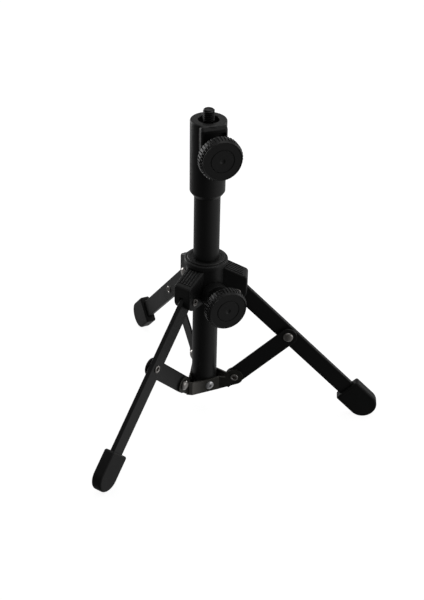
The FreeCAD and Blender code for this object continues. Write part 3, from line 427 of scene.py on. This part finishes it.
def knob(side):
    """Ribbed clamp knob: tapered rim, recessed face with a plain ring groove and a centre dimple."""
    axis = knob_axis(side)
    node = f"{side}_knob"
    back, front, outer = axis.span(node, WHOLE_NODE)
    thickness, taper, neck, fillet = 9.6 * MM, 3.2 * MM, 6.5 * MM, 1.2 * MM
    face_edge, band, corner = 16.5 * MM, 0.9 * MM, 0.4 * MM
    shoulder = front - thickness
    rows = [(back, 3.4 * MM), (back, neck - 0.5 * MM), (back + 0.5 * MM, neck)]
    rows += arc(shoulder - fillet, neck + fillet, fillet, 180, 90, 5)[:-1]
    rows += [(shoulder, neck + fillet), (shoulder, outer - 0.7 * MM)]
    rows += [(shoulder + 0.1 * MM, outer - 0.6 * MM), (shoulder + 0.6 * MM, outer - 0.04 * MM)]
    rows += [(shoulder + 0.8 * MM, outer), (front - taper - 0.2 * MM, outer)]
    for share in (0.0, 0.15, 0.3, 0.45, 0.6, 0.75, 0.9):
        rows.append((front - taper + share * (taper - band), outer + share * (face_edge - outer)))
    rows += [(front - band, face_edge), (front - 0.45 * MM, face_edge)]
    rows += arc(front - corner, face_edge - corner, corner, 10, 90, 5)
    rows += face_rows(front)
    pitch = 2 * math.pi * outer / KNOB_RIBS
    root, full_rise = outer - 0.9 * MM, 1.8 * MM
    half_floor, flank = 0.42 * MM, 0.56 * MM
    steps = np.array((0.0, 0.28, 0.42, 0.52, 0.62, 0.72, 0.82)) * MM
    offsets = np.concatenate((-steps[:0:-1], steps, [pitch / 2])) / outer
    angles = (np.arange(KNOB_RIBS)[:, None] * 2 * math.pi / KNOB_RIBS + offsets[None, :]).ravel()

    def radius_at(number, along, radius, angle):
        turns = angle * KNOB_RIBS / (2 * math.pi)
        away = np.abs(turns - np.round(turns)) * pitch
        rise = np.clip((away - half_floor) / flank, 0.0, 1.0)
        return np.minimum(radius, root + full_rise * rise)

    obj = turned(f"{side}_knob_ribbed", axis, rows, angles, radius_at, smooth=30.0)
    place(obj, node, node)


def face_rows(front):
    """Front of a knob from the rim inwards: dish, ring groove, centre dimple.

    The support rows beside each edge keep the flats evenly shaded.
    """
    dish, depth, support = 15.5 * MM, 0.5 * MM, 0.15 * MM
    groove, half, cut = 9.6 * MM, 0.55 * MM, 0.4 * MM
    floor = front - depth
    rows = [(front, dish + 0.55 * MM), (front - 0.05 * MM, dish + 0.45 * MM)]
    rows += [(floor + 0.08 * MM, dish + 0.1 * MM)]
    rows += [(floor, dish), (floor, dish - support), (floor, groove + half + support)]
    rows += [(floor, groove + half), (floor - cut, groove + half * 0.4)]
    rows += [(floor - cut, groove - half * 0.4), (floor, groove - half)]
    rows += [(floor, groove - half - support), (floor, 2.5 * MM), (floor, 2.3 * MM)]
    return rows + [(floor - 0.45 * MM, 1.6 * MM), (floor - 0.6 * MM, 1.0 * MM), (floor - 0.65 * MM, 0.0)]


def clamp_screw(side):
    """Clamp screw, M6 x 1, a hair short of its pad so that their faces don't lie in one plane."""
    axis = knob_axis(side)
    node = f"{side}_screw"
    low, high, major = axis.span(node, WHOLE_NODE)
    reverse = Axis(axis.origin, -axis.along)
    gap, pitch, chamfer, run_out = 0.03 * MM, 1.0 * MM, 0.6 * MM, 1.0 * MM
    obj = threaded(f"{side}_screw_thread", reverse, -high, -low - gap, major,
                   pitch, chamfer, run_out)
    place(obj, f"{side}_knob", node)


def dome_rows(base, tip, radius):
    """Round rivet head from its rim to its pole, with a short upright rim."""
    rim = 0.3 * MM
    rise = tip - base - rim
    rows = [(base, radius - 0.1 * MM), (base + rim, radius)]
    for turn in np.radians((12, 24, 36, 48, 60, 72, 82)):
        rows.append((base + rim + rise * math.sin(turn), radius * math.cos(turn)))
    return rows + [(tip, 0.0)]


def rivet(name, node, origin, direction, proud=0.0):
    """Semi-tubular rivet: dome at the high end of its axis, rolled hollow ring at the low end.

    proud makes the dome that much higher than the CAD's, and wider by the same length.
    """
    axis = Axis(origin, direction)
    low, high, head = axis.span(node, 6.0 * MM)
    high, head = high + proud, head + 0.5 * proud
    dome = high - (2.1 * MM + proud)
    ring_height, ring, hole, shank = 1.0 * MM, 3.4 * MM, 1.85 * MM, 2.4 * MM
    ring_face = low + ring_height
    half = ring_height * 0.5
    centre = 0.5 * (ring + hole)
    rows = [(low + 4.4 * MM, 0.0), (low + 3.8 * MM, hole * 0.9), (low + ring_height, hole)]
    for turn in np.radians((200, 230, 260, 290, 320, 350)):
        rows.append((low + half + half * math.sin(turn), centre + (ring - centre) * math.cos(turn)))
    rows += [(ring_face, ring - 0.15 * MM), (ring_face, shank), (dome, shank)]
    rows += dome_rows(dome, high, head)
    return turned(name, axis, rows, RIVET_SIDES, smooth=50.0)


def turned_about_column(vector, degrees):
    return Matrix.Rotation(math.radians(degrees), 3, "Z") @ Vector(vector)


def all_rivets():
    """Three rivets at the hub, three at the knees and three at the tube's foot."""
    ear_dome_proud = 0.7 * MM
    hub_pivot = JOINTS["hub_level"]["pos_m"]
    # 1 puts a hub rivet's dome on the counter-clockwise side of its block, -1 on the clockwise side.
    dome_side = {"right": 1, "rear": 1, "front": -1}
    for index, leg in enumerate(LEGS):
        azimuth = LEG_SPACING * index
        clockwise = turned_about_column((0, -1, 0), azimuth)
        pivot = turned_about_column(hub_pivot, azimuth)
        hub = rivet(f"hub_rivet_{leg}", "hub_rivets", pivot, clockwise * -dome_side[leg])
        place(hub, "hub", "hub_rivets")
        joint = JOINTS[f"leg_{leg}_fold"]
        knee = rivet(f"knee_rivet_{leg}", f"brace_rivet_{leg}", joint["pos_m"], clockwise)
        place(knee, f"leg_{leg}", f"brace_rivet_{leg}")
        joint = JOINTS[f"brace_{leg}_fold"]
        ear = rivet(f"ear_rivet_{leg}", "spider_rivets", joint["pos_m"], -clockwise, ear_dome_proud)
        place(ear, "column", "spider_rivets")


def blind_rivets():
    """Bright blind rivets through the strips: low dome with the broken mandrel sunk in its middle."""
    low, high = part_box("blind_rivets")
    height = 0.5 * (low.z + high.z)
    flange, shank = 1.3 * MM, 2.3 * MM
    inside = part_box("main_tube")[1].x - 1.6 * MM
    for index, leg in enumerate(LEGS):
        direction = turned_about_column((1, 0, 0), LEG_SPACING * index + BLIND_RIVET_AZIMUTH)
        axis = Axis((0, 0, height), direction)
        _, outer, head = axis.span("blind_rivets", 5.0 * MM)
        base = outer - flange
        rows = [(inside, 0.0), (inside, shank), (base, shank), (base, head - 0.1 * MM)]
        rows += [(base + 0.25 * MM, head), (base + 0.5 * MM, head - 0.25 * MM)]
        rows += [(base + 0.85 * MM, head - 1.0 * MM), (base + 1.15 * MM, head - 1.8 * MM)]
        rows += [(outer, head - 2.4 * MM), (outer, 1.35 * MM)]
        rows += [(outer - 0.15 * MM, 1.2 * MM), (outer - 0.75 * MM, 1.1 * MM)]
        rows += [(outer - 0.8 * MM, 0.8 * MM), (outer - 0.55 * MM, 0.3 * MM), (outer - 0.5 * MM, 0.0)]
        obj = turned(f"blind_rivet_{leg}", axis, rows, RIVET_SIDES, smooth=45.0)
        place(obj, "column", "blind_rivets")


# ---------------------------------------------------------------- the object

for node, obj in frame["nodes"].items():
    bar = node.startswith(("leg_", "brace_")) and SLOTS[node] == "painted_steel"
    dress(obj, "painted_bar" if bar else SLOTS[node])

mic_stud()
for side in ("upper", "lower"):
    knob(side)
    clamp_screw(side)
all_rivets()
blind_rivets()


# ---------------------------------------------------------------- studio

def unit(azimuth, elevation):
    a, e = math.radians(azimuth), math.radians(elevation)
    return Vector((math.cos(a) * math.cos(e), math.sin(a) * math.cos(e), math.sin(e)))


def photo_camera():
    back = unit(CAMERA_AZIMUTH, CAMERA_ELEVATION)
    right = unit(CAMERA_AZIMUTH + 90.0, 0.0)
    up = back.cross(right)
    roll = math.radians(CAMERA_ROLL)
    level = right * math.cos(roll) + up * math.sin(roll)
    rise = up * math.cos(roll) - right * math.sin(roll)
    data = bpy.data.cameras.new("photo_camera")
    data.lens = CAMERA_LENS
    data.sensor_width = 36.0
    camera = bpy.data.objects.new("photo_camera", data)
    matrix = Matrix((level, rise, back)).transposed().to_4x4()
    matrix.translation = CAMERA_TARGET + back * CAMERA_DISTANCE
    camera.matrix_world = matrix
    bpy.context.scene.collection.objects.link(camera)
    bpy.context.scene.camera = camera


def panel(name, azimuth, elevation, size, power):
    """Soft rectangular light, aimed at the stand; azimuth counts from the camera, right positive."""
    towards = unit(CAMERA_AZIMUTH + azimuth, elevation)
    data = bpy.data.lights.new(name, "AREA")
    data.shape = "RECTANGLE"
    data.size, data.size_y = size
    data.energy = power
    light = bpy.data.objects.new(name, data)
    light.location = CAMERA_TARGET + towards * PANEL_DISTANCE
    light.rotation_euler = towards.to_track_quat("Z", "Y").to_euler()
    light.visible_camera = False
    bpy.context.scene.collection.objects.link(light)
    light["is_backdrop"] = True


# Brightness of the room around the object, by degrees of azimuth from the camera.
ROOM_LEVELS = ((-180, 0.44), (-140, 0.27), (-100, 0.13), (-60, 0.05), (-20, 0.03), (5, 0.05),
               (35, 0.14), (80, 0.28), (120, 0.36), (180, 0.46))


def surroundings():
    """White for the camera; for the object, a room that is dark by the camera and pale at the back."""
    world = bpy.data.worlds.new("studio")
    bpy.context.scene.world = world
    world.use_nodes = True
    graph = Graph(world.node_tree)
    ray = graph.add("TexCoord").outputs["Generated"]
    turned_ray = graph.add("VectorRotate", {"Vector": ray, "Angle": math.radians(-CAMERA_AZIMUTH)},
                           rotation_type="Z_AXIS").outputs[0]
    split = graph.add("SeparateXYZ", {"Vector": turned_ray})
    azimuth = graph.math("ARCTAN2", split.outputs["Y"], split.outputs["X"])
    share = graph.remap(azimuth, -math.pi, math.pi, 0.0, 1.0)
    ramp = graph.add("ValToRGB", {"Fac": share})
    ramp.color_ramp.interpolation = "B_SPLINE"
    elements = ramp.color_ramp.elements
    while len(elements) < len(ROOM_LEVELS):
        elements.new(0.5)
    for element, (degrees, level) in zip(elements, ROOM_LEVELS):
        element.position = (degrees + 180) / 360
        element.color = grey(level)
    above = graph.remap(split.outputs["Z"], 0.2, 0.5, 0.0, 1.0)
    overhead = graph.remap(split.outputs["Z"], 0.6, 0.95, 0.09, 0.3)
    lit = graph.blend(above, ramp.outputs["Color"], overhead)
    camera_ray = graph.add("LightPath").outputs["Is Camera Ray"]
    seen = graph.blend(camera_ray, lit, grey(1.0))
    background = graph.add("Background", {"Color": seen, "Strength": 1.0})
    output = graph.add("OutputWorld")
    graph.put(output.inputs["Surface"], background.outputs[0])


def floor():
    """Pale floor under the feet that takes a faint shadow."""
    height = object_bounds()[0][2]
    mesh = bpy.data.meshes.new("floor")
    corners = [(x * FLOOR_HALF_SIDE, y * FLOOR_HALF_SIDE, height)
               for x, y in ((-1, -1), (1, -1), (1, 1), (-1, 1))]
    mesh.from_pydata(corners, [], [(0, 1, 2, 3)])
    obj = bpy.data.objects.new("floor", mesh)
    bpy.context.scene.collection.objects.link(obj)
    material, graph, place_at = start_material("pale_floor")
    mottle = graph.remap(graph.noise(place_at, 3.0, 2.0), 0.3, 0.7, 0.98, 1.0)
    glow = graph.add("Emission", {"Color": grey(1.0), "Strength": graph.math("MULTIPLY", mottle, 0.93)})
    matt = graph.add("BsdfDiffuse", {"Color": grey(0.35)})
    both = graph.add("AddShader")
    graph.put(both.inputs[0], glow.outputs[0])
    graph.put(both.inputs[1], matt.outputs[0])
    output = graph.add("OutputMaterial")
    graph.put(output.inputs["Surface"], both.outputs[0])
    mesh.materials.append(material)
    obj.visible_diffuse = False
    obj.visible_glossy = False
    obj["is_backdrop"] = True


photo_camera()
surroundings()
floor()
panel("right_front", 62.0, 10.0, (0.7, 0.9), 1.5)
panel("right_back", 114.0, 14.0, (0.5, 0.5), 1.2)
panel("left_back", -130.0, 7.0, (0.5, 1.1), 4.6)
panel("top", 150.0, 68.0, (1.0, 1.0), 2.5)
bpy.context.scene.view_settings.view_transform = "Standard"
